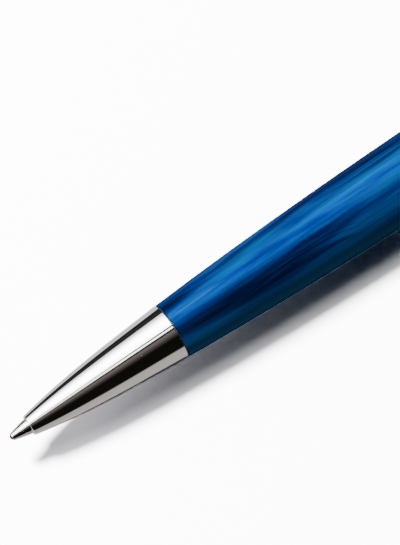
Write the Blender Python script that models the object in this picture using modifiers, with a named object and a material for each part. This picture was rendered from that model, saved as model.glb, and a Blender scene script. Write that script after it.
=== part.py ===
"""Twist-action ballpoint pen, lying on a table with its writing point towards -X.

The pen's axis is parallel to X. Every station below is a distance along that axis from the front
of the writing ball, and every radius is measured from the axis. The origin is on the table, under
the middle of the pen.
"""

import math

import bmesh
import bpy
from mathutils import Vector

MM = 0.001

# Clearances
FIT_GAP = 0.05 * MM  # between pieces that are pressed, glued or screwed together
TURN_GAP = 0.10 * MM  # between pieces that turn in each other
SLIDE_GAP = 0.15 * MM  # round the refill and its plunger
SEAM_GAP = 0.06 * MM  # between end faces that meet
EDGE = 0.12 * MM  # broken edges

# Refill
BALL_D = 1.0 * MM
SOCKET_GAP = 0.03 * MM
SOCKET_LIP = 0.08 * MM  # wall at the lip that holds the ball
LIP_AHEAD = 0.2 * MM  # how far the lip reaches in front of the ball's middle
POINT_D = 2.36 * MM
POINT_TAPER = 14.0  # degrees each side
POINT_LENGTH = 8.0 * MM  # from the front of the ball to the neck
INK_HOLE_D = 0.5 * MM
SPIGOT_LENGTH = 3.0 * MM  # how far one refill piece enters the next
POINT_SPIGOT_D = 1.8 * MM
NECK_D = 3.1 * MM
NECK_LENGTH = 11.6 * MM
SHOULDER_LENGTH = 1.8 * MM
REFILL_D = 5.9 * MM
REFILL_WALL = 0.35 * MM
REFILL_LENGTH = 98.1 * MM
PLUG_HEAD = 4.0 * MM
VENT_D = 1.0 * MM
INK_FILL = 58.0 * MM

# Nose cone
POINT_SHOWS = 3.15 * MM  # how much of the point stands out of the cone
NOSE_LENGTH = 24.25 * MM
MOUTH_WALL = 0.32 * MM
NOSE_SLOPE_FRONT = 0.209
NOSE_SLOPE_REAR = 0.08
MOUTH_ROUNDING = 0.22 * MM
SPRING_SEAT = 7.85 * MM  # from the mouth
NOSE_THREAD_LENGTH = 8.0 * MM
THREAD_PITCH = 1.0 * MM
THREAD_DEPTH = 0.14 * MM
WASHER_T = 0.1 * MM

# Return spring
SPRING_WIRE = 0.4 * MM
SPRING_TURNS = 8

# Barrel
STATOR_WALL = 0.4 * MM
LINER_WALL = 0.45 * MM
BARREL_FRONT_WALL = 0.3 * MM
BARREL_LENGTH = 49.5 * MM
BARREL_SWELL = 1.6 * MM  # how much the radius grows from the seam to the middle of the pen
BARREL_SLOPE_FRONT = 0.066
BARREL_SLOPE_REAR = 0.008

# Twist mechanism
STROKE = 5.0 * MM
TWIST = math.pi
STATOR_GRIP = 9.0 * MM  # how far the stator tube reaches into the barrel
PLUNGER_LENGTH = 9.9 * MM
PIN_D = 1.0 * MM
PIN_SETBACK = 2.9 * MM  # from the plunger's front
SLOT_CLEARANCE = 0.12 * MM
CAM_WALL = 0.5 * MM
CAM_SLOT_OVERRUN = math.radians(12)
STATOR_END_ROOM = 3.0 * MM
CIRCLIP_T = 0.5 * MM
CIRCLIP_WIDTH = 0.6 * MM
CIRCLIP_SETBACK = 1.6 * MM
GROOVE_DEPTH = 0.15 * MM
SEAL_STATION = 2.3 * MM  # from the centre ring's front face
THRUST_WASHER_T = 0.3 * MM

# Centre ring and cap
RING_LENGTH = 3.2 * MM
RING_PROUD = 0.25 * MM
RING_LIP = 1.2 * MM
RING_GROOVE = 0.3 * MM
RING_GROOVE_INSET = 0.55 * MM
CAM_SETBACK = 1.6 * MM  # from the centre ring's rear face
CAP_SPARE = 10.0 * MM  # room behind the mechanism
CAP_TAPER = 0.55 * MM
LINER_PLUG_LENGTH = 7.0 * MM
STUD_D = 4.0 * MM
STUD_LENGTH = 6.0 * MM

# Clip and its seat
SEAT_LENGTH = 7.7 * MM
SEAT_SLOT_LENGTH = 5.6 * MM
SEAT_FLOOR = 0.4 * MM
LUG_W = 1.8 * MM
LUG_GAP = 0.2 * MM
LUG_END_GAP = 0.4 * MM
CLIP_PIN_D = 1.0 * MM
CLIP_PIN_HEIGHT = 4.2 * MM  # from the pen's axis
CLIP_LENGTH = 41.4 * MM  # from the hinge pin to the middle of the ball
CLIP_BALL_D = 3.0 * MM
CLIP_CLEARANCE = 0.3 * MM
CLIP_ARM_T = 0.9 * MM
CLIP_ARM_W_ROOT = 2.8 * MM
CLIP_ARM_W_TIP = 1.9 * MM
CLIP_ARCH = 0.5 * MM
CLIP_ROOT_STANDOFF = 1.1 * MM
CLIP_SPRING_WIRE = 0.2 * MM
CLIP_SPRING_D = 1.2 * MM
CLIP_SPRING_LENGTH = 1.0 * MM
CLIP_SPRING_TURNS = 3

# Finial
FINIAL_LENGTH = 6.1 * MM
FINIAL_FACE_D = 6.4 * MM
INLAY_D = 5.0 * MM
INLAY_T = 0.8 * MM

# Facets round a turned piece
OUTER_STEPS = 32
INNER_STEPS = 28
SMALL_STEPS = 20

# Radii that follow from the sizes above, from the inside out
refill_r = REFILL_D / 2
guide_r = refill_r + SLIDE_GAP
stator_r = guide_r + STATOR_WALL
liner_bore = stator_r + FIT_GAP
liner_r = liner_bore + LINER_WALL
barrel_bore = liner_r + FIT_GAP
seam_r = barrel_bore + BARREL_FRONT_WALL
barrel_rear_r = seam_r + BARREL_SWELL
ring_r = barrel_rear_r + RING_PROUD
cam_bore = stator_r + TURN_GAP
cam_r = cam_bore + CAM_WALL
cap_liner_bore = cam_r + FIT_GAP
cap_liner_r = cap_liner_bore + LINER_WALL
cap_bore = cap_liner_r + FIT_GAP
cap_rear_r = barrel_rear_r - CAP_TAPER

# Stations that follow, from the writing point to the finial
neck_front = POINT_LENGTH + SEAM_GAP
shoulder_x = neck_front + NECK_LENGTH
tube_front = shoulder_x + SHOULDER_LENGTH + SEAM_GAP
plug_front = REFILL_LENGTH - PLUG_HEAD
mouth_x = POINT_SHOWS
spring_seat_x = mouth_x + SPRING_SEAT
seam_x = mouth_x + NOSE_LENGTH
barrel_front = seam_x + WASHER_T + 2 * SEAM_GAP
barrel_end = barrel_front + BARREL_LENGTH
ring_front = barrel_end + THRUST_WASHER_T + 2 * SEAM_GAP
ring_end = ring_front + RING_LENGTH
plunger_front = REFILL_LENGTH + SEAM_GAP
plunger_end = plunger_front + PLUNGER_LENGTH
pin_x = plunger_front + PIN_SETBACK
stator_end = plunger_end + STROKE + STATOR_END_ROOM
circlip_x = stator_end - CIRCLIP_SETBACK
cap_end = stator_end + CAP_SPARE
seat_front = cap_end + SEAM_GAP
seat_end = seat_front + SEAT_LENGTH
finial_front = seat_end + SEAM_GAP
finial_end = finial_front + FINIAL_LENGTH
clip_pin_x = (seat_front + seat_end) / 2

# The pen lies on its centre ring and on the ball of its clip
clip_ball_r = CLIP_BALL_D / 2
clip_ball_height = barrel_rear_r + CLIP_CLEARANCE + clip_ball_r
clip_lean = math.acos((ring_r - clip_ball_r) / clip_ball_height)
clip_turn = math.pi - clip_lean
clip_reach = clip_ball_height * math.sin(clip_lean) + clip_ball_r
AXIS_Y = (clip_reach - ring_r) / 2
AXIS_Z = ring_r


# ---------------------------------------------------------------- scene and helpers

for thing in list(bpy.data.objects):
    bpy.data.objects.remove(thing, do_unlink=True)

pen = bpy.data.collections.new("twist_ballpoint_pen")
cutters = bpy.data.collections.new("cutters")
for collection in (pen, cutters):
    bpy.context.scene.collection.children.link(collection)


def material(name, colour, roughness, metallic):
    made = bpy.data.materials.new(name)
    made.use_nodes = True
    shader = made.node_tree.nodes["Principled BSDF"]
    shader.inputs["Base Color"].default_value = (*colour, 1.0)
    shader.inputs["Roughness"].default_value = roughness
    shader.inputs["Metallic"].default_value = metallic
    made.diffuse_color = (*colour, 1.0)
    return made


def empty(name, location, rotation=(0, 0, 0), parent=None):
    made = bpy.data.objects.new(name, None)
    made.location = location
    made.rotation_euler = rotation
    made.parent = parent
    pen.objects.link(made)
    return made


def place(made, parent, collection=pen):
    made.parent = parent
    if not made.users_collection:
        collection.objects.link(made)
    for other in list(made.users_collection):
        if other is not collection:
            other.objects.unlink(made)
            if made.name not in collection.objects:
                collection.objects.link(made)
    return made


def swell(x0, r0, slope0, x1, r1, slope1, count):
    """Points on a smooth curve from (x0, r0) to (x1, r1) that leaves and arrives at two slopes."""
    length = x1 - x0
    points = []
    for i in range(count + 1):
        t = i / count
        r = (
            r0 * (2 * t**3 - 3 * t**2 + 1)
            + slope0 * length * (t**3 - 2 * t**2 + t)
            + r1 * (3 * t**2 - 2 * t**3)
            + slope1 * length * (t**3 - t**2)
        )
        points.append((x0 + length * t, r))
    return points


def arc(x, r, radius, start, end, count):
    """Points round (x, r), with angles in degrees from the +X side towards larger radii."""
    points = []
    for i in range(count + 1):
        angle = math.radians(start + (end - start) * i / count)
        points.append((x + radius * math.cos(angle), r + radius * math.sin(angle)))
    return points


def tube_side(x0, x1, r, edge=EDGE):
    """A straight outer side with both edges broken."""
    return [(x0, r - edge), (x0 + edge, r), (x1 - edge, r), (x1, r - edge)]


def turned(name, outer, bore, look, parent, steps, collection=pen):
    """A turned piece. Both sides run from the front to the rear; without a bore it is solid."""
    outline = list(reversed(outer)) + list(bore)
    mesh = bpy.data.meshes.new(name)
    count = len(outline)
    joins = [(i, i + 1) for i in range(count - 1)]
    if bore:
        joins.append((count - 1, 0))
    mesh.from_pydata([(x, 0, r) for x, r in outline], joins, [])
    made = place(bpy.data.objects.new(name, mesh), parent, collection)
    lathe = made.modifiers.new("lathe", "SCREW")
    lathe.axis = "X"
    lathe.steps = steps
    lathe.render_steps = steps
    lathe.use_merge_vertices = True
    lathe.merge_threshold = 0.000001
    lathe.use_smooth_shade = True
    mesh.materials.append(look)
    return made


def ring_outline(x, r, section_r, count):
    """A round section, from the rear round the outer side."""
    return arc(x, r, section_r, 0, 360 - 360 / count, count - 1)


def as_cutter(made):
    made.hide_render = True
    made.display_type = "WIRE"
    return made


def combine(target, other, operation):
    change = target.modifiers.new(other.name, "BOOLEAN")
    change.operation = operation
    change.solver = "EXACT"
    change.object = other
    return change


def box_cutter(name, low, high, parent):
    bpy.ops.mesh.primitive_cube_add(size=1)
    made = bpy.context.active_object
    made.name = name
    low, high = Vector(low), Vector(high)
    for vertex in made.data.vertices:
        for axis in range(3):
            half = vertex.co[axis] * (high[axis] - low[axis])
            vertex.co[axis] = (low[axis] + high[axis]) / 2 + half
    return as_cutter(place(made, parent, cutters))


def rod(name, radius, length, centre, turn, steps, parent, collection=pen):
    """A cylinder with its middle at centre, turned from the Z axis by turn."""
    bpy.ops.mesh.primitive_cylinder_add(vertices=steps, radius=radius, depth=length)
    made = bpy.context.active_object
    made.name = name
    made.location = centre
    made.rotation_euler = turn
    made.data.shade_smooth()
    made.data.set_sharp_from_angle(angle=math.radians(40))
    return place(made, parent, collection)


def coil(name, along, middle_r, wire, start, end, turns, look, parent, location=(0, 0, 0)):
    """A round-wire spring along X or Z, with flat closed turns at both ends."""
    per_turn = 12
    rest = wire * 1.15
    rise = (end - start - wire - 2 * rest) / (turns - 2)
    points = []
    for i in range(turns * per_turn + 1):
        turn = i / per_turn
        height = start + wire / 2 + min(turn, 1) * rest
        height += max(0, min(turn - 1, turns - 2)) * rise
        height += max(0, turn - (turns - 1)) * rest
        a = middle_r * math.cos(2 * math.pi * turn)
        b = middle_r * math.sin(2 * math.pi * turn)
        points.append((height, a, b) if along == "X" else (a, b, height))
    curve = bpy.data.curves.new(name, "CURVE")
    curve.dimensions = "3D"
    curve.bevel_depth = wire / 2
    curve.bevel_resolution = 2
    curve.use_fill_caps = True
    spline = curve.splines.new("POLY")
    spline.points.add(len(points) - 1)
    for point, place_of in zip(spline.points, points):
        point.co = (*place_of, 1)
    curve.materials.append(look)
    made = place(bpy.data.objects.new(name, curve), parent)
    made.location = location
    return made


def real_mesh(made, tolerance=0.000001):
    """Turn a curve into a welded mesh object that takes modifiers."""
    bpy.context.view_layer.update()
    graph = bpy.context.evaluated_depsgraph_get()
    mesh = bpy.data.meshes.new_from_object(made.evaluated_get(graph))
    shape = bmesh.new()
    shape.from_mesh(mesh)
    bmesh.ops.remove_doubles(shape, verts=shape.verts, dist=tolerance)
    bmesh.ops.recalc_face_normals(shape, faces=shape.faces)
    shape.to_mesh(mesh)
    shape.free()
    name, parent, location = made.name, made.parent, made.location.copy()
    bpy.data.objects.remove(made, do_unlink=True)
    fresh = place(bpy.data.objects.new(name, mesh), parent)
    fresh.location = location
    return fresh


# ---------------------------------------------------------------- axes

pen_axis = empty("pen_axis", (-finial_end / 2, AXIS_Y, AXIS_Z))
refill_axis = empty("refill_axis", (0, 0, 0), parent=pen_axis)
cap_axis = empty("cap_axis", (0, 0, 0), parent=pen_axis)
nose_axis = empty("nose_axis", (0, 0, 0), parent=pen_axis)
clip_frame = empty("clip_frame", (0, 0, 0), (clip_turn, 0, 0), cap_axis)
clip_hinge = empty("clip_hinge", (clip_pin_x, 0, CLIP_PIN_HEIGHT), parent=clip_frame)


# ---------------------------------------------------------------- materials

marbled_resin = material("marbled_resin", (0.01, 0.13, 0.36), 0.12, 0.0)
polished_chrome = material("polished_chrome", (0.72, 0.71, 0.70), 0.06, 1.0)
nickel_silver = material("nickel_silver", (0.62, 0.57, 0.50), 0.2, 1.0)
carbide = material("carbide", (0.10, 0.07, 0.06), 0.15, 1.0)
brass = material("brass", (0.70, 0.47, 0.17), 0.3, 1.0)
refill_steel = material("refill_steel", (0.55, 0.55, 0.56), 0.3, 1.0)
spring_steel = material("spring_steel", (0.42, 0.42, 0.44), 0.3, 1.0)
ink_paste = material("ink_paste", (0.01, 0.02, 0.12), 0.4, 0.0)
grey_acetal = material("grey_acetal", (0.35, 0.36, 0.37), 0.45, 0.0)
black_nitrile = material("black_nitrile", (0.02, 0.02, 0.02), 0.6, 0.0)
black_nylon = material("black_nylon", (0.03, 0.03, 0.035), 0.5, 0.0)


# ---------------------------------------------------------------- refill

ball_r = BALL_D / 2
socket_r = ball_r + SOCKET_GAP
point_r = POINT_D / 2
neck_r = NECK_D / 2
ink_hole_r = INK_HOLE_D / 2
point_spigot_r = POINT_SPIGOT_D / 2
tube_bore = refill_r - REFILL_WALL
tube_spigot_r = tube_bore - FIT_GAP


def writing_ball():
    bpy.ops.mesh.primitive_uv_sphere_add(segments=20, ring_count=12, radius=ball_r)
    made = bpy.context.active_object
    made.name = "writing_ball"
    made.location = (ball_r, 0, 0)
    made.data.shade_smooth()
    made.data.materials.append(carbide)
    return place(made, refill_axis)


def refill_point():
    lip_angle = math.degrees(math.acos(LIP_AHEAD / socket_r))
    lip_x = ball_r - LIP_AHEAD
    lip_r = socket_r * math.sin(math.radians(lip_angle)) + SOCKET_LIP
    cone_end = lip_x + (point_r - lip_r) / math.tan(math.radians(POINT_TAPER))
    hole_angle = math.degrees(math.asin(ink_hole_r / socket_r))
    outer = [(lip_x, lip_r), (cone_end, point_r)]
    outer += [(POINT_LENGTH, point_r), (POINT_LENGTH, point_spigot_r)]
    outer.append((POINT_LENGTH + SPIGOT_LENGTH, point_spigot_r))
    bore = arc(ball_r, 0, socket_r, 180 - lip_angle, hole_angle, 10)
    bore.append((POINT_LENGTH + SPIGOT_LENGTH, ink_hole_r))
    return turned("refill_point", outer, bore, nickel_silver, refill_axis, SMALL_STEPS)


def refill_neck():
    outer = [(neck_front, neck_r - EDGE), (neck_front + EDGE, neck_r), (shoulder_x, neck_r)]
    outer += [(shoulder_x, refill_r - 3 * EDGE), (shoulder_x + 3 * EDGE, refill_r)]
    outer += [(tube_front - SEAM_GAP, refill_r), (tube_front - SEAM_GAP, tube_spigot_r)]
    outer.append((tube_front + SPIGOT_LENGTH, tube_spigot_r))
    bore_r = point_spigot_r + FIT_GAP
    step = POINT_LENGTH + SPIGOT_LENGTH + FIT_GAP
    bore = [(neck_front, bore_r), (step, bore_r), (step, ink_hole_r)]
    bore.append((tube_front + SPIGOT_LENGTH, ink_hole_r))
    return turned("refill_neck", outer, bore, brass, refill_axis, SMALL_STEPS)


def refill_tube():
    outer = [(tube_front, refill_r), (plug_front - SEAM_GAP, refill_r)]
    bore = [(tube_front, tube_bore), (plug_front - SEAM_GAP, tube_bore)]
    return turned("refill_tube", outer, bore, refill_steel, refill_axis, INNER_STEPS)


def ink_column():
    start = tube_front + SPIGOT_LENGTH + FIT_GAP
    end = min(start + INK_FILL, plug_front - SPIGOT_LENGTH - FIT_GAP)
    radius = tube_bore - FIT_GAP
    middle = ((start + end) / 2, 0, 0)
    turn = (0, math.pi / 2, 0)
    made = rod("ink_column", radius, end - start, middle, turn, SMALL_STEPS, refill_axis)
    made.data.materials.append(ink_paste)
    return made


def refill_plug():
    outer = [(plug_front - SPIGOT_LENGTH, tube_spigot_r), (plug_front, tube_spigot_r)]
    outer += [(plug_front, refill_r), (REFILL_LENGTH - 3 * EDGE, refill_r)]
    outer.append((REFILL_LENGTH, refill_r - 3 * EDGE))
    vent_r = VENT_D / 2
    bore = [(plug_front - SPIGOT_LENGTH, vent_r), (REFILL_LENGTH, vent_r)]
    return turned("refill_plug", outer, bore, grey_acetal, refill_axis, SMALL_STEPS)


writing_ball()
refill_point()
refill_neck()
refill_tube()
ink_column()
refill_plug()


# ---------------------------------------------------------------- nose cone and its spring

mouth_bore = point_r + TURN_GAP
neck_bore = neck_r + 2 * TURN_GAP
spring_r = neck_bore + SPRING_WIRE / 2
chamber_r = spring_r + SPRING_WIRE / 2 + 2 * TURN_GAP
spigot_r = liner_bore - FIT_GAP
spigot_end = seam_x + NOSE_THREAD_LENGTH


def threaded_side(x0, x1, r):
    """The outer side of a threaded stretch: a relief at its root, then the crests' envelope."""
    relief = x0 + THREAD_PITCH
    points = [(x0, r - THREAD_DEPTH), (relief, r - THREAD_DEPTH), (relief + THREAD_DEPTH, r)]
    return points + [(x1 - THREAD_DEPTH, r), (x1, r - THREAD_DEPTH)]


def nose_cone():
    mouth_r = mouth_bore + MOUTH_WALL
    corner = MOUTH_ROUNDING
    outer = arc(mouth_x + corner, mouth_r - corner, corner, 180, 96, 3)
    start_x, start_r = outer.pop()
    outer += swell(start_x, start_r, NOSE_SLOPE_FRONT, seam_x - EDGE / 2, seam_r, NOSE_SLOPE_REAR, 10)
    outer += [(seam_x, seam_r - EDGE / 2)]
    outer += threaded_side(seam_x, spigot_end, spigot_r)
    mouth_end = neck_front - 2 * TURN_GAP
    body_bore_x = shoulder_x - 4 * TURN_GAP
    bore = [(mouth_x, mouth_bore), (mouth_end, mouth_bore), (mouth_end, neck_bore)]
    bore += [(spring_seat_x, neck_bore), (spring_seat_x, chamber_r), (body_bore_x, chamber_r)]
    bore += [(body_bore_x, guide_r), (spigot_end, guide_r)]
    return turned("nose_cone", outer, bore, polished_chrome, nose_axis, OUTER_STEPS)


def nose_washer():
    outer_r = seam_r - EDGE
    inner_r = spigot_r + FIT_GAP
    x0 = seam_x + SEAM_GAP
    x1 = x0 + WASHER_T
    outer = [(x0, outer_r), (x1, outer_r)]
    bore = [(x0, inner_r), (x1, inner_r)]
    return turned("nose_washer", outer, bore, black_nitrile, nose_axis, INNER_STEPS)


nose_cone()
nose_washer()
coil(
    "return_spring",
    "X",
    spring_r,
    SPRING_WIRE,
    spring_seat_x + SEAM_GAP,
    shoulder_x - SEAM_GAP,
    SPRING_TURNS,
    spring_steel,
    nose_axis,
)


# ---------------------------------------------------------------- barrel

stator_front = barrel_end - STATOR_GRIP


def barrel_radius_points(count):
    return swell(
        barrel_front + EDGE / 2,
        seam_r,
        BARREL_SLOPE_FRONT,
        barrel_end - EDGE,
        barrel_rear_r,
        BARREL_SLOPE_REAR,
        count,
    )


def barrel_shell():
    outer = [(barrel_front, seam_r - EDGE / 2)]
    outer += barrel_radius_points(11)
    outer.append((barrel_end, barrel_rear_r - EDGE))
    bore = [(barrel_front, barrel_bore), (barrel_end, barrel_bore)]
    return turned("barrel_shell", outer, bore, marbled_resin, pen_axis, OUTER_STEPS)


def barrel_liner():
    outer = [(barrel_front, liner_r), (barrel_end, liner_r)]
    bore = [(barrel_front, liner_bore), (barrel_end, liner_bore)]
    return turned("barrel_liner", outer, bore, brass, pen_axis, INNER_STEPS)


barrel_shell()
barrel_liner()


# ---------------------------------------------------------------- twist mechanism

pin_r = PIN_D / 2
slot_half = pin_r + SLOT_CLEARANCE


def stator_tube():
    groove_r = stator_r - GROOVE_DEPTH
    groove = (circlip_x - FIT_GAP, circlip_x + CIRCLIP_T + FIT_GAP)
    outer = [(stator_front, stator_r), (groove[0], stator_r), (groove[0], groove_r)]
    outer += [(groove[1], groove_r), (groove[1], stator_r), (stator_end, stator_r)]
    bore = [(stator_front, guide_r), (stator_end, guide_r)]
    made = turned("stator_tube", outer, bore, brass, pen_axis, INNER_STEPS)
    low = (pin_x - slot_half, -slot_half, -2 * stator_r)
    high = (pin_x + STROKE + slot_half, slot_half, 2 * stator_r)
    combine(made, box_cutter("stator_slots_cutter", low, high, pen_axis), "DIFFERENCE")
    return made


def helical_cutter(name, start_turn):
    """A band that winds STROKE along the axis over the cap's twist, through the sleeve's wall."""
    shape = bmesh.new()
    lean = math.atan2(STROKE, TWIST * cam_bore)
    half = slot_half / math.cos(lean)
    low_r = cam_bore - CAM_WALL
    high_r = cam_r + CAM_WALL
    first = pin_x - STROKE * CAM_SLOT_OVERRUN / TWIST
    corners = [(-half, low_r), (half, low_r), (half, high_r), (-half, high_r)]
    angle = start_turn + CAM_SLOT_OVERRUN
    verts = []
    for dx, r in corners:
        at = (first + dx, -r * math.sin(angle), r * math.cos(angle))
        verts.append(shape.verts.new(at))
    face = shape.faces.new(verts)
    steps = 24
    swing = TWIST + 2 * CAM_SLOT_OVERRUN
    travel = STROKE * swing / TWIST
    bmesh.ops.spin(
        shape,
        geom=[face, *face.edges, *face.verts],
        cent=(0, 0, 0),
        axis=(-1, 0, 0),
        dvec=(travel / steps, 0, 0),
        angle=swing,
        steps=steps,
        use_duplicate=False,
    )
    bmesh.ops.recalc_face_normals(shape, faces=shape.faces)
    mesh = bpy.data.meshes.new(name)
    shape.to_mesh(mesh)
    shape.free()
    made = place(bpy.data.objects.new(name, mesh), cap_axis, cutters)
    return as_cutter(made)


def cam_sleeve():
    x0 = ring_end + CAM_SETBACK
    x1 = circlip_x - TURN_GAP
    outer = [(x0, cam_r), (x1, cam_r)]
    bore = [(x0, cam_bore), (x1, cam_bore)]
    made = turned("cam_sleeve", outer, bore, grey_acetal, cap_axis, INNER_STEPS)
    for i in range(2):
        combine(made, helical_cutter(f"cam_slot_cutter_{i + 1}", i * math.pi), "DIFFERENCE")
    return made


def follower_plunger():
    outer = [(plunger_front, 0), (plunger_front, refill_r)]
    outer += [(plunger_end - 3 * EDGE, refill_r), (plunger_end, refill_r - 3 * EDGE)]
    outer.append((plunger_end, 0))
    made = turned("follower_plunger", outer, [], grey_acetal, refill_axis, SMALL_STEPS)
    centre = (pin_x, 0, 0)
    length = 3 * refill_r
    name = "pin_hole_cutter"
    hole = rod(name, pin_r + FIT_GAP, length, centre, (0, 0, 0), 20, refill_axis, cutters)
    combine(made, as_cutter(hole), "DIFFERENCE")
    return made


def cross_pin():
    length = 2 * (cam_r - FIT_GAP)
    made = rod("cross_pin", pin_r, length, (pin_x, 0, 0), (0, 0, 0), 20, refill_axis)
    made.data.materials.append(spring_steel)
    return made


def retaining_ring():
    inner = stator_r - GROOVE_DEPTH + FIT_GAP
    outer_r = inner + CIRCLIP_WIDTH
    x1 = circlip_x + CIRCLIP_T
    outer = [(circlip_x, outer_r), (x1, outer_r)]
    bore = [(circlip_x, inner), (x1, inner)]
    made = turned("retaining_ring", outer, bore, spring_steel, pen_axis, INNER_STEPS)
    low = (circlip_x - CIRCLIP_T, -pin_r, 0)
    high = (x1 + CIRCLIP_T, pin_r, 2 * outer_r)
    combine(made, box_cutter("retaining_ring_gap_cutter", low, high, pen_axis), "DIFFERENCE")
    return made


def turning_seal():
    room = cap_liner_bore - stator_r
    section_r = room / 2 - FIT_GAP
    x = ring_front + SEAL_STATION
    outline = ring_outline(x, stator_r + room / 2, section_r, 8)
    return turned("turning_seal", [], outline, black_nitrile, pen_axis, INNER_STEPS)


def thrust_washer():
    x0 = barrel_end + SEAM_GAP
    x1 = x0 + THRUST_WASHER_T
    outer_r = barrel_rear_r - 4 * EDGE
    outer = [(x0, outer_r), (x1, outer_r)]
    bore = [(x0, cam_bore), (x1, cam_bore)]
    return turned("thrust_washer", outer, bore, black_nylon, pen_axis, INNER_STEPS)


stator_tube()
cam_sleeve()
follower_plunger()
cross_pin()
retaining_ring()
turning_seal()
thrust_washer()


# ---------------------------------------------------------------- centre ring and cap

stud_r = STUD_D / 2


def centre_ring():
    x0, x1 = ring_front, ring_end
    outer = [(x0, barrel_rear_r - EDGE), (x0 + RING_PROUD, ring_r)]
    for start in (x0 + RING_GROOVE_INSET, x1 - RING_GROOVE_INSET - RING_GROOVE):
        outer.append((start, ring_r))
        outer.append((start + RING_GROOVE / 2, ring_r - RING_GROOVE / 2))
        outer.append((start + RING_GROOVE, ring_r))
    outer += [(x1 - RING_PROUD, ring_r), (x1, barrel_rear_r - EDGE)]
    pocket_r = cap_liner_r + FIT_GAP
    bore = [(x0, cam_bore), (x0 + RING_LIP, cam_bore), (x0 + RING_LIP, pocket_r), (x1, pocket_r)]
    return turned("centre_ring", outer, bore, polished_chrome, cap_axis, OUTER_STEPS)


def cap_shell():
    x0 = ring_end + SEAM_GAP
    outer = [(x0, barrel_rear_r - EDGE)]
    slope = -2 * CAP_TAPER / (cap_end - x0)
    outer += swell(x0 + EDGE, barrel_rear_r, 0, cap_end - EDGE, cap_rear_r, slope, 8)
    outer.append((cap_end, cap_rear_r - EDGE))
    bore = [(x0, cap_bore), (cap_end, cap_bore)]
    return turned("cap_shell", outer, bore, marbled_resin, cap_axis, OUTER_STEPS)


def cap_liner():
    x0 = ring_front + RING_LIP + SEAM_GAP
    outer = [(x0, cap_liner_r), (cap_end, cap_liner_r)]
    bore = [(x0, cap_liner_bore), (cap_end, cap_liner_bore)]
    return turned("cap_liner", outer, bore, brass, cap_axis, INNER_STEPS)


def liner_plug():
    x0 = cap_end - LINER_PLUG_LENGTH
    outer = [(x0, cap_liner_bore - FIT_GAP), (cap_end, cap_liner_bore - FIT_GAP)]
    bore = [(x0, stud_r + FIT_GAP), (cap_end, stud_r + FIT_GAP)]
    return turned("liner_plug", outer, bore, brass, cap_axis, INNER_STEPS)


centre_ring()
cap_shell()
cap_liner()
liner_plug()


# ---------------------------------------------------------------- clip

clip_pin_r = CLIP_PIN_D / 2
slot_front = clip_pin_x - SEAT_SLOT_LENGTH / 2
slot_floor = stud_r + FIT_GAP + SEAT_FLOOR
lug_half = SEAT_SLOT_LENGTH / 2 - LUG_END_GAP
lug_low = CLIP_PIN_HEIGHT - clip_pin_r - LUG_END_GAP
tail_low = slot_floor + CLIP_SPRING_LENGTH + 2 * SEAM_GAP
arm_root = cap_rear_r + CLIP_ROOT_STANDOFF + CLIP_ARM_T / 2


def clip_seat():
    outer = tube_side(seat_front, seat_end, cap_rear_r)
    bore = [(seat_front, stud_r + FIT_GAP), (seat_end, stud_r + FIT_GAP)]
    made = turned("clip_seat", outer, bore, polished_chrome, cap_axis, OUTER_STEPS)
    half_w = LUG_W / 2 + LUG_GAP
    low = (slot_front, -half_w, slot_floor)
    high = (slot_front + SEAT_SLOT_LENGTH, half_w, 2 * cap_rear_r)
    combine(made, box_cutter("clip_slot_cutter", low, high, clip_frame), "DIFFERENCE")
    name = "clip_pin_hole_cutter"
    across = (math.pi / 2, 0, 0)
    radius = clip_pin_r + FIT_GAP
    hole = rod(name, radius, 3 * cap_rear_r, (0, 0, 0), across, 16, clip_hinge, cutters)
    combine(made, as_cutter(hole), "DIFFERENCE")
    return made


def clip_pin():
    half = math.sqrt(cap_rear_r**2 - (CLIP_PIN_HEIGHT + clip_pin_r) ** 2) - EDGE
    across = (math.pi / 2, 0, 0)
    made = rod("clip_pin", clip_pin_r, 2 * half, (0, 0, 0), across, 16, clip_hinge)
    made.data.materials.append(spring_steel)
    return made


def clip_arm():
    """A bar from above the hinge to the ball, narrower at the tip and slightly arched."""
    bpy.ops.mesh.primitive_cube_add(size=1)
    made = bpy.context.active_object
    made.name = "clip_arm"
    shape = bmesh.new()
    shape.from_mesh(made.data)
    along = [e for e in shape.edges if abs(e.verts[0].co.x - e.verts[1].co.x) > 0.5]
    bmesh.ops.subdivide_edges(shape, edges=along, cuts=9, use_grid_fill=True)
    start_x = lug_half
    end_x = -CLIP_LENGTH
    for vertex in shape.verts:
        t = 0.5 - vertex.co.x
        width = CLIP_ARM_W_ROOT + (CLIP_ARM_W_TIP - CLIP_ARM_W_ROOT) * t
        height = arm_root + (clip_ball_height - arm_root) * t + CLIP_ARCH * math.sin(math.pi * t)
        vertex.co.x = start_x + (end_x - start_x) * t
        vertex.co.y *= width
        vertex.co.z = height - CLIP_PIN_HEIGHT + vertex.co.z * CLIP_ARM_T
    shape.to_mesh(made.data)
    shape.free()
    place(made, clip_hinge, cutters)
    rounding = made.modifiers.new("rounded_edges", "BEVEL")
    rounding.width = CLIP_ARM_T / 4
    rounding.segments = 2
    rounding.limit_method = "ANGLE"
    rounding.angle_limit = math.radians(50)
    return made


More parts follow.
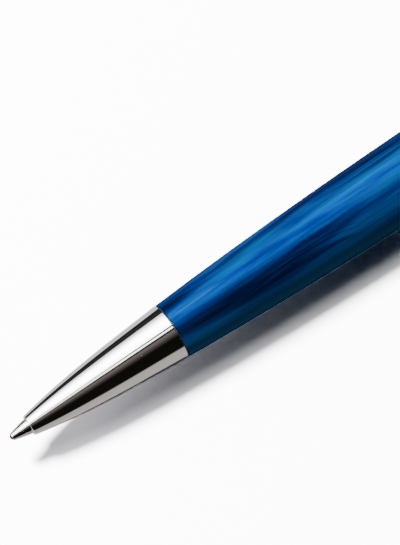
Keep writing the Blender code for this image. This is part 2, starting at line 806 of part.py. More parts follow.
def clip_lug():
    """The flat plate under the arm that sits in the seat's slot, with a raised tail."""
    top = arm_root - CLIP_PIN_HEIGHT
    low = lug_low - CLIP_PIN_HEIGHT
    tail = tail_low - CLIP_PIN_HEIGHT
    tail_x = clip_pin_r + LUG_END_GAP
    corners = [(-lug_half, top), (-lug_half, 0), (-tail_x, low), (tail_x, low)]
    corners += [(tail_x, tail), (lug_half, tail), (lug_half, top)]
    curve = bpy.data.curves.new("clip", "CURVE")
    curve.dimensions = "2D"
    curve.fill_mode = "BOTH"
    curve.extrude = LUG_W / 2
    spline = curve.splines.new("POLY")
    spline.points.add(len(corners) - 1)
    for point, (x, z) in zip(spline.points, corners):
        point.co = (x, z, 0, 1)
    spline.use_cyclic_u = True
    flat = bpy.data.objects.new("clip", curve)
    pen.objects.link(flat)
    flat.parent = clip_hinge
    made = real_mesh(flat)
    made.rotation_euler = (math.pi / 2, 0, 0)
    return made


def clip():
    made = clip_lug()
    made.data.materials.append(polished_chrome)
    combine(made, as_cutter(clip_arm()), "UNION")
    bpy.ops.mesh.primitive_uv_sphere_add(segments=20, ring_count=12, radius=clip_ball_r)
    ball = bpy.context.active_object
    ball.name = "clip_ball"
    ball.location = (-CLIP_LENGTH, 0, clip_ball_height - CLIP_PIN_HEIGHT)
    combine(made, as_cutter(place(ball, clip_hinge, cutters)), "UNION")
    across = (math.pi / 2, 0, 0)
    radius = clip_pin_r + TURN_GAP
    eye = rod("clip_eye_cutter", radius, 2 * LUG_W, (0, 0, 0), across, 16, clip_hinge, cutters)
    combine(made, as_cutter(eye), "DIFFERENCE")
    return made


def clip_spring():
    x = (clip_pin_r + LUG_END_GAP + lug_half) / 2
    low = slot_floor + SEAM_GAP - CLIP_PIN_HEIGHT
    return coil(
        "clip_spring",
        "Z",
        (CLIP_SPRING_D - CLIP_SPRING_WIRE) / 2,
        CLIP_SPRING_WIRE,
        low,
        low + CLIP_SPRING_LENGTH,
        CLIP_SPRING_TURNS,
        spring_steel,
        clip_hinge,
        (x, 0, 0),
    )


clip_seat()
clip_pin()
clip()
clip_spring()


# ---------------------------------------------------------------- finial

face_r = FINIAL_FACE_D / 2
inlay_r = INLAY_D / 2


def finial():
    stud_front = cap_end - STUD_LENGTH
    outer = [(stud_front, 0), (stud_front, stud_r - EDGE), (stud_front + EDGE, stud_r)]
    outer += [(finial_front, stud_r), (finial_front, cap_rear_r - EDGE)]
    outer.append((finial_front + EDGE, cap_rear_r))
    dome = FINIAL_LENGTH * 0.62
    outer.append((finial_end - dome, cap_rear_r))
    for i in range(1, 7):
        angle = math.pi / 2 * i / 6
        x = finial_end - dome + dome * math.sin(angle)
        outer.append((x, face_r + (cap_rear_r - face_r) * math.cos(angle)))
    recess_r = inlay_r + FIT_GAP
    floor = finial_end - INLAY_T - SEAM_GAP
    outer += [(finial_end, recess_r), (floor, recess_r), (floor, 0)]
    return turned("finial", outer, [], polished_chrome, cap_axis, OUTER_STEPS)


def finial_inlay():
    x0 = finial_end - INLAY_T
    outer = [(x0, 0), (x0, inlay_r), (finial_end, inlay_r), (finial_end, 0)]
    return turned("finial_inlay", outer, [], marbled_resin, cap_axis, INNER_STEPS)


finial()
finial_inlay()
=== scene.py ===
"""A twist-action ballpoint pen with a marbled resin barrel, lying on a table."""

import math

import bmesh
import bpy
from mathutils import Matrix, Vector


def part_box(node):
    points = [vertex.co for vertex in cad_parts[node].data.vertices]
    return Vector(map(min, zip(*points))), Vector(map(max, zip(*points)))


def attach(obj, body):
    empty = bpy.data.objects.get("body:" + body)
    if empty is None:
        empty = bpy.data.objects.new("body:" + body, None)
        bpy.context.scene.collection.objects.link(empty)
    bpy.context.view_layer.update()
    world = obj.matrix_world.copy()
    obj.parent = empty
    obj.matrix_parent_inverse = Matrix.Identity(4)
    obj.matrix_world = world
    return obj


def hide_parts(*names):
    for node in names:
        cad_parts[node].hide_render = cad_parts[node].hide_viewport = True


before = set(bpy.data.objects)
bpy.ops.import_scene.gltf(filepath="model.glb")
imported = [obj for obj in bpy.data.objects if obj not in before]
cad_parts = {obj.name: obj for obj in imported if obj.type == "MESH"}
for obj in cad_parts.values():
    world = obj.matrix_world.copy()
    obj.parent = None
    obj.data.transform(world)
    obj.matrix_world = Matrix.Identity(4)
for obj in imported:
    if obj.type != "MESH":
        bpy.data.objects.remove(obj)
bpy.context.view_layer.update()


# ---------------------------------------------------------------- refill point
# The tip of a standard refill: nickel silver, turned to a slim cone, polished, and drilled for the
# ink. Its front edge is rolled over the ball. Stations are millimetres from the writing point,
# along the pen, and radii are millimetres from the pen's axis.

MM = 0.001
pen_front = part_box("writing_ball")[0].x
axis_low, axis_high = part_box("barrel_shell")
axis_y = (axis_low.y + axis_high.y) / 2
axis_z = (axis_low.z + axis_high.z) / 2

ball_r = 0.5
socket_r = 0.53
lip_front = 0.3
lip_r = 0.57
point_r = 1.18
point_taper = math.radians(14)
point_end = 8.0
point_spigot_r = 0.9
point_spigot_end = 11.0
ink_hole_r = 0.25
rounding_steps = 4
merge_distance = 0.0002 * MM


class Level:
    """A number, colour or vector inside a node tree. Expressions on it add Math nodes."""

    def __init__(self, sheet, socket):
        self.sheet = sheet
        self.socket = socket

    def maths(self, operation, *others):
        return self.sheet.maths(operation, self, *others)

    def __add__(self, other):
        return self.maths("ADD", other)

    def __sub__(self, other):
        return self.maths("SUBTRACT", other)

    def __rsub__(self, other):
        return self.sheet.maths("SUBTRACT", other, self)

    def __mul__(self, other):
        return self.maths("MULTIPLY", other)

    def __truediv__(self, other):
        return self.maths("DIVIDE", other)

    def __rtruediv__(self, other):
        return self.sheet.maths("DIVIDE", other, self)

    __radd__ = __add__
    __rmul__ = __mul__


class Sheet:
    """A node tree being written: a finish, the studio, or the way a piece is formed."""

    def __init__(self, tree):
        self.tree = tree
        tree.nodes.clear()

    def node(self, kind, settings=None, sockets=None, output=0):
        made = self.tree.nodes.new(kind)
        for name, value in (settings or {}).items():
            if name == "stops":
                ramp = made.color_ramp
                for stop in value[1:-1]:
                    ramp.elements.new(stop[0])
                for element, (place, colour) in zip(ramp.elements, value):
                    element.position = place
                    element.color = (*colour, 1.0)
            else:
                setattr(made, name, value)
        for name, value in (sockets or {}).items():
            self.join(made, name, value)
        return Level(self, found(made.outputs, output)) if made.outputs else None

    def maths(self, operation, *values):
        return self.node("ShaderNodeMath", {"operation": operation}, dict(enumerate(values)))

    def join(self, made, name, value):
        socket = found(made.inputs, name)
        if isinstance(value, Level):
            self.tree.links.new(value.socket, socket)
        else:
            socket.default_value = value


def found(sockets, name):
    """The socket in use that has this name, or this place in the list."""
    if isinstance(name, int):
        return sockets[name]
    return next(s for s in sockets if s.enabled and s.name == name)


def scaled(sheet, vector, factors):
    """A vector with each of its three numbers multiplied."""
    return sheet.node("ShaderNodeVectorMath", {"operation": "MULTIPLY"}, {0: vector, 1: factors})


def moved(sheet, vector, other):
    return sheet.node("ShaderNodeVectorMath", {"operation": "ADD"}, {0: vector, 1: other})


def split_xyz(sheet, vector):
    """The three numbers of a vector, as three levels."""
    split = sheet.node("ShaderNodeSeparateXYZ", {}, {"Vector": vector})
    return [Level(sheet, output) for output in split.socket.node.outputs]


def mixed(sheet, share, first, second):
    """The first colour where share is 0 and the second where it is 1."""
    sockets = {"Factor": share, "A": first, "B": second}
    return sheet.node("ShaderNodeMix", {"data_type": "RGBA"}, sockets, "Result")


def grain(sheet, vector, detail=3.0, roughness=0.5, output="Fac"):
    """Smooth noise, with one wave in each unit of the vector."""
    sockets = {"Vector": vector, "Scale": 1.0, "Detail": detail, "Roughness": roughness}
    return sheet.node("ShaderNodeTexNoise", {}, sockets, output)


def ranged(sheet, value, low, high, to_low=0.0, to_high=1.0):
    """The value's place between low and high, eased at both ends."""
    settings = {"interpolation_type": "SMOOTHSTEP"}
    sockets = {"Value": value, "From Min": low, "From Max": high}
    sockets.update({"To Min": to_low, "To Max": to_high})
    return sheet.node("ShaderNodeMapRange", settings, sockets)


def pen_place(sheet):
    """Millimetres along the pen from the writing point, and across it from the pen's axis."""
    coordinates = sheet.node("ShaderNodeTexCoord", {}, {}, "Object")
    middle = (-pen_front / MM, -axis_y / MM, -axis_z / MM)
    sockets = {"Vector": coordinates, "Location": middle, "Scale": (1 / MM, 1 / MM, 1 / MM)}
    return sheet.node("ShaderNodeMapping", {}, sockets)


def new_finish(name, shader_values):
    """A material and its sheet, with these values on the shader's own sockets."""
    material = bpy.data.materials.new(name)
    material.use_nodes = True
    sheet = Sheet(material.node_tree)
    shader = sheet.node("ShaderNodeBsdfPrincipled", {}, shader_values)
    sheet.node("ShaderNodeOutputMaterial", {}, {"Surface": shader})
    sheet.material = material
    sheet.shader = shader.socket.node
    return sheet


def bumped(sheet, height, distance, strength=1.0):
    """Fine relief of the surface, with the height of one unit given in millimetres."""
    sockets = {"Height": height, "Distance": distance * MM, "Strength": strength}
    sheet.join(sheet.shader, "Normal", sheet.node("ShaderNodeBump", {}, sockets, "Normal"))


def turned_metal(name, colour, dull, roughness, line_depth, line_pitch):
    """Metal off a lathe: rings of fine tool lines, faint blotches and a few rubbed streaks."""
    sheet = new_finish(name, {"Metallic": 1.0})
    place = pen_place(sheet)
    lines = grain(sheet, scaled(sheet, place, (1 / line_pitch, 0.15, 0.15)), 2.0)
    blotches = grain(sheet, scaled(sheet, place, (0.35, 0.5, 0.5)), 3.0)
    streaks = ranged(sheet, grain(sheet, scaled(sheet, place, (0.08, 5.0, 5.0)), 2.0), 0.55, 0.8)
    sheet.join(sheet.shader, "Base Color", mixed(sheet, blotches, colour, dull))
    level = roughness * (0.8 + 0.35 * blotches) + 0.25 * roughness * streaks + 0.3 * roughness * lines
    sheet.join(sheet.shader, "Roughness", level)
    bumped(sheet, lines, line_depth)
    return sheet.material


def softened(outline):
    """A turned outline of (station, radius, rounding) with its corners rounded."""
    points = []
    for i, (x, r, rounding) in enumerate(outline):
        if not rounding:
            points.append((x, r))
            continue
        corner = Vector((x, r))
        before = Vector(outline[i - 1][:2]) - corner
        after = Vector(outline[(i + 1) % len(outline)][:2]) - corner
        start = corner + before.normalized() * min(rounding, before.length * 0.45)
        end = corner + after.normalized() * min(rounding, after.length * 0.45)
        for step in range(rounding_steps + 1):
            t = step / rounding_steps
            point = start * (1 - t) ** 2 + corner * 2 * t * (1 - t) + end * t**2
            points.append((point.x, point.y))
    return points


def keep(name, shape, finish, sharp=30.0):
    """Puts a bmesh in the scene as one closed piece with its faces outwards."""
    bmesh.ops.remove_doubles(shape, verts=shape.verts, dist=merge_distance)
    bmesh.ops.dissolve_degenerate(shape, edges=shape.edges, dist=merge_distance)
    bmesh.ops.recalc_face_normals(shape, faces=shape.faces)
    mesh = bpy.data.meshes.new(name)
    shape.to_mesh(mesh)
    shape.free()
    mesh.shade_smooth()
    mesh.set_sharp_from_angle(angle=math.radians(sharp))
    mesh.materials.append(finish)
    made = bpy.data.objects.new(name, mesh)
    bpy.context.scene.collection.objects.link(made)
    return made


def turned(name, points, finish, sides, closed=True):
    """Turns an outline about the pen's axis. An open outline starts and ends on the axis."""
    shape = bmesh.new()
    rings = []
    for x, r in points:
        ring = []
        for i in range(sides):
            angle = 2 * math.pi * i / sides
            y = axis_y + r * MM * math.cos(angle)
            z = axis_z + r * MM * math.sin(angle)
            ring.append(shape.verts.new((pen_front + x * MM, y, z)))
        rings.append(ring)
    pairs = list(zip(rings, rings[1:] + rings[:1]))
    for first, second in pairs if closed else pairs[:-1]:
        for i in range(sides):
            j = (i + 1) % sides
            shape.faces.new((first[i], first[j], second[j], second[i]))
    return keep(name, shape, finish)


nickel_silver = turned_metal(
    "nickel_silver", (0.80, 0.79, 0.76, 1), (0.66, 0.65, 0.61, 1), 0.10, 0.0006, 0.06
)

cone_end = lip_front + (point_r - lip_r) / math.tan(point_taper)
outline = softened(
    [
        (lip_front, lip_r, 0.05),
        (cone_end, point_r, 0.12),
        (point_end, point_r, 0.05),
        (point_end, point_spigot_r, 0),
        (point_spigot_end, point_spigot_r, 0.08),
        (point_spigot_end, ink_hole_r, 0),
        (ball_r + math.sqrt(socket_r**2 - ink_hole_r**2), ink_hole_r, 0),
    ]
)
hole_angle = math.asin(ink_hole_r / socket_r)
lip_angle = math.pi - math.acos((ball_r - lip_front) / socket_r)
socket_steps = 12
for step in range(1, socket_steps + 1):
    angle = hole_angle + (lip_angle - hole_angle) * step / socket_steps
    outline.append((ball_r + socket_r * math.cos(angle), socket_r * math.sin(angle)))
refill_point = turned("refill_point_turned", outline, nickel_silver, sides=96)
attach(refill_point, "refill")
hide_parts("refill_point")


# ---------------------------------------------------------------- writing ball
# A millimetre ball of tungsten carbide, ground with a slightly rough skin so that it carries ink.
# It rolls loose in the point's socket, wet with dark ink.

carbide = new_finish("carbide", {"Specular IOR Level": 0.25})
place = pen_place(carbide)
pits = grain(carbide, scaled(carbide, place, (14.0, 14.0, 14.0)), 4.0, 0.6)
ink_film = ranged(carbide, grain(carbide, scaled(carbide, place, (2.2, 2.2, 2.2)), 2.0), 0.15, 0.45)
ball_colour = mixed(carbide, ink_film, (0.10, 0.05, 0.045, 1), (0.030, 0.006, 0.006, 1))
carbide.join(carbide.shader, "Base Color", ball_colour)
carbide.join(carbide.shader, "Metallic", 0.7 - 0.65 * ink_film)
carbide.join(carbide.shader, "Roughness", 0.22 + 0.2 * pits)
bumped(carbide, pits, 0.004)

shape = bmesh.new()
bmesh.ops.create_icosphere(shape, subdivisions=5, radius=ball_r * MM)
bmesh.ops.translate(shape, verts=shape.verts, vec=(pen_front + ball_r * MM, axis_y, axis_z))
writing_ball = keep("writing_ball_ground", shape, carbide.material)
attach(writing_ball, "ball")
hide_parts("writing_ball")


# ---------------------------------------------------------------- refill body
# The brass neck, the plated ink tube, the ink paste in it and the plastic tail plug. They are the
# standard refill's own parts, pressed into each other, and they keep their functional shapes.

brass = turned_metal("brass", (0.78, 0.57, 0.27, 1), (0.60, 0.40, 0.16, 1), 0.26, 0.0015, 0.12)
refill_steel = turned_metal(
    "refill_steel", (0.63, 0.63, 0.64, 1), (0.50, 0.50, 0.51, 1), 0.24, 0.001, 0.2
)
spring_steel = turned_metal(
    "spring_steel", (0.52, 0.52, 0.53, 1), (0.38, 0.38, 0.40, 1), 0.28, 0.0012, 0.08
)


def moulded_plastic(name, colour, worn, roughness):
    """Plastic from a mould: an even skin, a little orange peel, and paler where it is rubbed."""
    sheet = new_finish(name, {"Specular IOR Level": 0.45})
    place = pen_place(sheet)
    skin = grain(sheet, scaled(sheet, place, (3.5, 3.5, 3.5)), 3.0)
    rubbed = ranged(sheet, grain(sheet, scaled(sheet, place, (0.3, 0.8, 0.8)), 4.0), 0.5, 0.75)
    sheet.join(sheet.shader, "Base Color", mixed(sheet, rubbed, colour, worn))
    sheet.join(sheet.shader, "Roughness", roughness + 0.12 * skin - 0.08 * rubbed)
    bumped(sheet, skin, 0.004)
    return sheet.material


ink_paste = moulded_plastic("ink_paste", (0.01, 0.02, 0.12, 1), (0.015, 0.03, 0.2, 1), 0.15)
grey_acetal = moulded_plastic("grey_acetal", (0.33, 0.34, 0.35, 1), (0.42, 0.43, 0.44, 1), 0.38)
black_nitrile = moulded_plastic(
    "black_nitrile", (0.012, 0.012, 0.013, 1), (0.03, 0.03, 0.031, 1), 0.55
)
black_nylon = moulded_plastic("black_nylon", (0.014, 0.014, 0.016, 1), (0.03, 0.03, 0.033, 1), 0.4)


def finish_node(node, material):
    """Gives a functional part that keeps its shape its real finish."""
    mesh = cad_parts[node].data
    mesh.materials.clear()
    mesh.materials.append(material)


finish_node("refill_neck", brass)
finish_node("refill_tube", refill_steel)
finish_node("ink_column", ink_paste)
finish_node("refill_plug", grey_acetal)


# ---------------------------------------------------------------- nose cone
# A brass cone, turned in one piece with its threaded spigot, then polished and chrome plated to a
# mirror. Its mouth is rounded over and just clears the refill point.

mouth = 3.15
seam = 27.4
seam_r = 4.35
mouth_bore = 1.28
mouth_wall = 0.32
mouth_rounding = 0.22
nose_slope_front = 0.209
nose_slope_rear = 0.08
plated_edge = 0.05
neck_bore = 1.75
neck_bore_start = 7.86
spring_seat = 11.0
chamber_r = 2.35
chamber_end = 19.26
guide_r = 3.1
spigot_end = 35.4
spigot_r = 3.5
thread_depth = 0.14
thread_pitch = 1.0


def swell(x0, r0, slope0, x1, r1, slope1, count):
    """Points on a smooth curve that leaves the first end and reaches the second at two slopes."""
    length = x1 - x0
    points = []
    for i in range(count + 1):
        t = i / count
        r = r0 * (2 * t**3 - 3 * t**2 + 1) + slope0 * length * (t**3 - 2 * t**2 + t)
        r += r1 * (3 * t**2 - 2 * t**3) + slope1 * length * (t**3 - t**2)
        points.append((x0 + length * t, r))
    return points


def chrome_plate(name):
    """Bright chrome: a mirror with a faint warm depth, hairline wipe marks and tiny handling dust."""
    sheet = new_finish(name, {"Metallic": 1.0})
    place = pen_place(sheet)
    depth = grain(sheet, scaled(sheet, place, (0.12, 0.3, 0.3)), 2.0)
    hairlines = grain(sheet, scaled(sheet, place, (0.5, 9.0, 9.0)), 3.0, 0.6)
    wipes = ranged(sheet, grain(sheet, scaled(sheet, place, (2.4, 0.5, 0.5)), 4.0), 0.56, 0.78)
    dust = ranged(sheet, grain(sheet, scaled(sheet, place, (5.0, 5.0, 5.0)), 1.0), 0.74, 0.8)
    bright = mixed(sheet, depth, (0.93, 0.925, 0.915, 1), (0.86, 0.85, 0.835, 1))
    sheet.join(sheet.shader, "Base Color", mixed(sheet, 0.5 * dust, bright, (0.5, 0.48, 0.46, 1)))
    level = 0.035 + 0.03 * wipes + 0.02 * hairlines + 0.2 * dust
    sheet.join(sheet.shader, "Roughness", level)
    bumped(sheet, hairlines, 0.00012)
    return sheet.material


polished_chrome = chrome_plate("polished_chrome")

mouth_r = mouth_bore + mouth_wall
outline = []
mouth_steps = 8
for step in range(mouth_steps + 1):
    angle = math.radians(180 - 84 * step / mouth_steps)
    x = mouth + mouth_rounding + mouth_rounding * math.cos(angle)
    outline.append((x, mouth_r - mouth_rounding + mouth_rounding * math.sin(angle)))
start = outline.pop()
outline += swell(*start, nose_slope_front, seam - plated_edge, seam_r, nose_slope_rear, 48)
root_r = spigot_r - thread_depth
outline += softened(
    [
        (seam - plated_edge, seam_r, 0),
        (seam, seam_r - plated_edge, 0),
        (seam, root_r, 0.04),
        (spigot_end, root_r, 0.12),
        (spigot_end, guide_r, 0.06),
        (chamber_end, guide_r, 0),
        (chamber_end, chamber_r, 0),
        (spring_seat, chamber_r, 0),
        (spring_seat, neck_bore, 0),
        (neck_bore_start, neck_bore, 0),
        (neck_bore_start, mouth_bore, 0),
        (mouth, mouth_bore, 0.05),
    ]
)[1:]
nose_cone = turned("nose_cone_plated", outline, polished_chrome, sides=192)
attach(nose_cone, "nose")
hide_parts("nose_cone")


# ---------------------------------------------------------------- nose thread
# The single-start thread cut on the nose cone's spigot. It is one ridge that winds a millimetre
# a turn and screws the cone into the barrel's brass liner.


def new_form(name, inputs):
    """A geometry tree with named inputs, and its sheet and input node."""
    tree = bpy.data.node_groups.new(name, "GeometryNodeTree")
    for label, kind in inputs.items():
        tree.interface.new_socket(label, in_out="INPUT", socket_type=kind)
    tree.interface.new_socket("Geometry", in_out="OUTPUT", socket_type="NodeSocketGeometry")
    sheet = Sheet(tree)
    given = tree.nodes.new("NodeGroupInput")
    sheet.given = {label: Level(sheet, found(given.outputs, label)) for label in inputs}
    return sheet


def settle(piece, sharp=30.0):
    """Turns a piece's modifiers into its plain mesh."""
    evaluated = piece.evaluated_get(bpy.context.evaluated_depsgraph_get())
    mesh = bpy.data.meshes.new_from_object(evaluated)
    piece.modifiers.clear()
    piece.data = mesh
    mesh.name = piece.name
    mesh.shade_smooth()
    mesh.set_sharp_from_angle(angle=math.radians(sharp))


def formed(name, sheet, values):
    """The plain mesh that a geometry tree gives for these values, as one piece."""
    made = bpy.data.objects.new(name, bpy.data.meshes.new(name))
    bpy.context.scene.collection.objects.link(made)
    forming = made.modifiers.new("forming", "NODES")
    forming.node_group = sheet.tree
    for item in sheet.tree.interface.items_tree:
        if item.item_type == "SOCKET" and item.in_out == "INPUT":
            forming[item.identifier] = values[item.name]
    settle(made)
    return made


winding = new_form(
    "winding",
    {
        "Start": "NodeSocketVector",
        "Radius": "NodeSocketFloat",
        "Section": "NodeSocketFloat",
        "Length": "NodeSocketFloat",
        "Turns": "NodeSocketFloat",
        "Steps a turn": "NodeSocketInt",
        "Section steps": "NodeSocketInt",
        "Material": "NodeSocketMaterial",
    },
)
given = winding.given
spiral = winding.node(
    "GeometryNodeCurveSpiral",
    {},
    {
        "Resolution": given["Steps a turn"],
        "Rotations": given["Turns"],
        "Start Radius": given["Radius"],
        "End Radius": given["Radius"],
        "Height": given["Length"],
    },
)
lying = winding.node(
    "GeometryNodeTransform",
    {},
    {"Geometry": spiral, "Rotation": (0, math.pi / 2, 0), "Translation": given["Start"]},
)
section = winding.node(
    "GeometryNodeCurvePrimitiveCircle",
    {},
    {"Resolution": given["Section steps"], "Radius": given["Section"]},
)
wound = winding.node(
    "GeometryNodeCurveToMesh",
    {},
    {"Curve": lying, "Profile Curve": section, "Fill Caps": True},
)
real = winding.node("GeometryNodeRealizeInstances", {}, {"Geometry": wound})
finished = winding.node(
    "GeometryNodeSetMaterial", {}, {"Geometry": real, "Material": given["Material"]}
)
winding.node("NodeGroupOutput", {}, {"Geometry": finished})


def along(x):
    """The place on the pen's axis at this station."""
    return (pen_front + x * MM, axis_y, axis_z)


thread_run_in = 1.2
thread_run_out = 0.4
thread_sunk = 0.01
thread_start = seam + thread_run_in
thread_length = spigot_end - thread_run_out - thread_start
nose_thread = formed(
    "nose_thread",
    winding,
    {
        "Start": along(thread_start),
        "Radius": (root_r + thread_sunk) * MM,
        "Section": (thread_depth - thread_sunk) * MM,
        "Length": thread_length * MM,
        "Turns": thread_length / thread_pitch,
        "Steps a turn": 48,
        "Section steps": 8,
        "Material": polished_chrome,
    },
)
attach(nose_thread, "nose")


# ---------------------------------------------------------------- return spring and nose washer
# The spring is drawn steel wire, wound round the refill's neck, and pushes the refill back into
# the pen. The washer is a thin black ring that is pinched between the cone and the barrel.

finish_node("return_spring", spring_steel)

seam_gap = 0.06
washer_front = seam + seam_gap
washer_end = washer_front + 0.1
washer_r = seam_r - 0.12
washer_bore = 3.55
outline = softened(
    [
        (washer_front, washer_r, 0.03),
        (washer_end, washer_r, 0.03),
        (washer_end, washer_bore, 0),
        (washer_front, washer_bore, 0),
    ]
)
nose_washer = turned("nose_washer_pinched", outline, black_nitrile, sides=128)
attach(nose_washer, "nose_seal")
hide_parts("nose_washer")


# ---------------------------------------------------------------- barrel
# A sleeve turned from a cast rod of blue marbled resin, drawn out along the rod while it set, then
# polished. It is glued round a brass liner, and swells from the nose to the middle of the pen.

barrel_front = 27.62
barrel_end = 77.12
barrel_bore = 4.05
barrel_rear_r = 5.95
barrel_slope_front = 0.066
barrel_slope_rear = 0.008
broken_edge = 0.12

bright_azure = (0.0002, 0.125, 0.330, 1)
azure = (0.0001, 0.066, 0.245, 1)
mid_blue = (0.0001, 0.025, 0.165, 1)
navy = (0.0002, 0.0095, 0.066, 1)
night = (0.0002, 0.003, 0.018, 1)
umber = (0.012, 0.010, 0.026, 1)
# The next colour is a painted reflection, laid on the near lower side of the resin.
painted_reflection_teal = (0.016, 0.110, 0.290, 1)
# The next colour is a painted highlight, for a thin pale line on the barrel.
painted_highlight_blue = (0.03, 0.10, 0.24, 1)
tone_stops = [
    (0.0, night[:3]),
    (0.22, navy[:3]),
    (0.46, mid_blue[:3]),
    (0.70, azure[:3]),
    (1.0, bright_azure[:3]),
]

# An area is its station, its turn round the axis in degrees, its length and its width in degrees.
# A run of strands is its station, turn, length, bow, pitch, and the two levels of its noise.
tone_patches = [
    (0.30, 58, 66, 24, 17),
    (0.26, 54, 90, 24, 9),
    (0.20, 35, 74, 11, 15),
    (-0.05, 42, 124, 14, 18),
    (0.10, 60, 124, 8, 10),
    (-0.14, 34, 118, 9, 16),
    (-0.10, 31, 48, 8, 10),
]
knot = (0.85, (48, 122, 9, 13, 3.4, 0.46, 0.62), (47, 121, 12, 15))
wisps = (0.80, (45, 50, 7, 6, 2.6, 0.40, 0.56), (43, 50, 8, 7))
bundle = (0.92, (66, 52, 12, -8, 3.0, 0.34, 0.52), (64, 53, 10, 10))
brown_strands = (0.6, (46, 135, 10, 14, 2.2, 0.56, 0.66), (44, 137, 8, 9))
# A painted highlight: a short thin pale line along the barrel, just behind the nose.
painted_highlight_line = (0.35, 31.5, 79, 4.5, 1.6)


def marbled(name):
    """Drawn-out blue marbling: broad bands, fine fibres, and dark strands that curl in places. Painted
    shade darkens the lower half, a painted reflection lightens the near lower side, and a short
    painted highlight line lies near the front of the barrel.
    """
    sheet = new_finish(name, {"Specular IOR Level": 0.0, "Metallic": 0.11})
    place = pen_place(sheet)
    station, across, up = split_xyz(sheet, place)
    turn = up.maths("ARCTAN2", across) * (180 / math.pi)

    drift = grain(sheet, scaled(sheet, place, (1 / 30, 1 / 6, 1 / 6)), 2.0, 0.5, "Color")
    drift = moved(sheet, drift, (-0.5, -0.5, -0.5))
    sway = split_xyz(sheet, drift)[1]

    def streaks(length, width, wander, detail=3.0):
        """Noise drawn out along the pen: length and width of one streak in millimetres."""
        drawn = scaled(sheet, place, (1 / length, 1 / width, 1 / width))
        return grain(sheet, moved(sheet, drawn, scaled(sheet, drift, (wander,) * 3)), detail, 0.55)

    def patch(middle, angle, length, width):
        """A soft area about a station and a turn round the axis, with an uneven edge."""
        dx = (station - middle) / length + sway * 0.5
        da = (turn - angle + sway * 14) / width
        return ranged(sheet, dx * dx + da * da, 1.4, 0.2)

    def strands(middle, angle, length, bow, pitch, low, high):
        """Dark strands that bow round a station, like the grain round a knot in wood."""
        dx = (station - middle) / length
        bent = turn + bow * ranged(sheet, dx * dx, 1.6, 0.0) + sway * 10
        lines = sheet.node("ShaderNodeCombineXYZ", {}, {"X": station / 40, "Y": bent / pitch})
        return ranged(sheet, grain(sheet, lines, 2.0, 0.6), low, high)

    bands = streaks(38, 3.4, 0.9)
    fibres = streaks(18, 0.45, 2.6, 4.0)
    veil = streaks(26, 1.5, 1.2)

    tone = 0.42 + 1.15 * (bands - 0.5) + 0.50 * (fibres - 0.5) + 0.75 * (veil - 0.5)
    for change, *area in tone_patches:
        tone = tone + change * patch(*area)
    colour = sheet.node("ShaderNodeValToRGB", {"stops": tone_stops}, {"Fac": tone}, "Color")
    for share, lines, area in (knot, wisps, bundle):
        colour = mixed(sheet, share * strands(*lines) * patch(*area), colour, night)
    # Painted shade: dark streaks mixed in over the lower half of the pen, below its axis.
    painted_shade_below = ranged(sheet, veil, 0.60, 0.72) * ranged(sheet, up, 1.0, -2.5)
    colour = mixed(sheet, 0.80 * painted_shade_below, colour, night)
    share, lines, area = brown_strands
    colour = mixed(sheet, share * strands(*lines) * patch(*area), colour, umber)
    # Painted reflection: a lighter teal in streaks over the near lower side, below the top.
    painted_reflection_side = ranged(sheet, up, 4.2, 2.1) * ranged(sheet, across, -1.0, -2.5)
    colour = mixed(sheet, (0.3 + 0.9 * veil) * painted_reflection_side, colour, painted_reflection_teal)
    # Painted highlight: the thin pale line along the barrel.
    share, *area = painted_highlight_line
    colour = mixed(sheet, share * patch(*area), colour, painted_highlight_blue)
    sheet.join(sheet.shader, "Base Color", colour)
    haze = grain(sheet, scaled(sheet, place, (0.4, 1.2, 1.2)), 3.0)
    sheet.join(sheet.shader, "Roughness", 0.14 + 0.14 * haze)
    bumped(sheet, fibres, 0.0008)
    return sheet.material


marbled_resin = marbled("marbled_resin")

sleeve = new_form(
    "turned sleeve",
    {
        "Start": "NodeSocketVector",
        "Length": "NodeSocketFloat",
        "Front radius": "NodeSocketFloat",
        "Rear radius": "NodeSocketFloat",
        "Front slope": "NodeSocketFloat",
        "Rear slope": "NodeSocketFloat",
        "Bore": "NodeSocketFloat",
        "Edge": "NodeSocketFloat",
        "Rings": "NodeSocketInt",
        "Sides": "NodeSocketInt",
        "Material": "NodeSocketMaterial",
    },
)
given = sleeve.given


def rolled_grid(rings, radius_at):
    """A grid rolled round the axis. radius_at turns a row's place, 0 to 1, into (x, radius)."""
    sockets = {"Size X": 1.0, "Size Y": 1.0, "Vertices X": rings, "Vertices Y": given["Sides"] + 1}
    grid = sleeve.node("GeometryNodeMeshGrid", {}, sockets)
    flat_x, flat_y, _ = split_xyz(sleeve, sleeve.node("GeometryNodeInputPosition"))
    angle = (flat_y + 0.5) * (2 * math.pi)
    x, radius = radius_at(flat_x + 0.5)
    y = radius * angle.maths("COSINE")
    z = radius * angle.maths("SINE")
    rolled = sleeve.node("ShaderNodeCombineXYZ", {}, {"X": x, "Y": y, "Z": z})
    rolled = moved(sleeve, rolled, given["Start"])
    return sleeve.node("GeometryNodeSetPosition", {}, {"Geometry": grid, "Position": rolled})


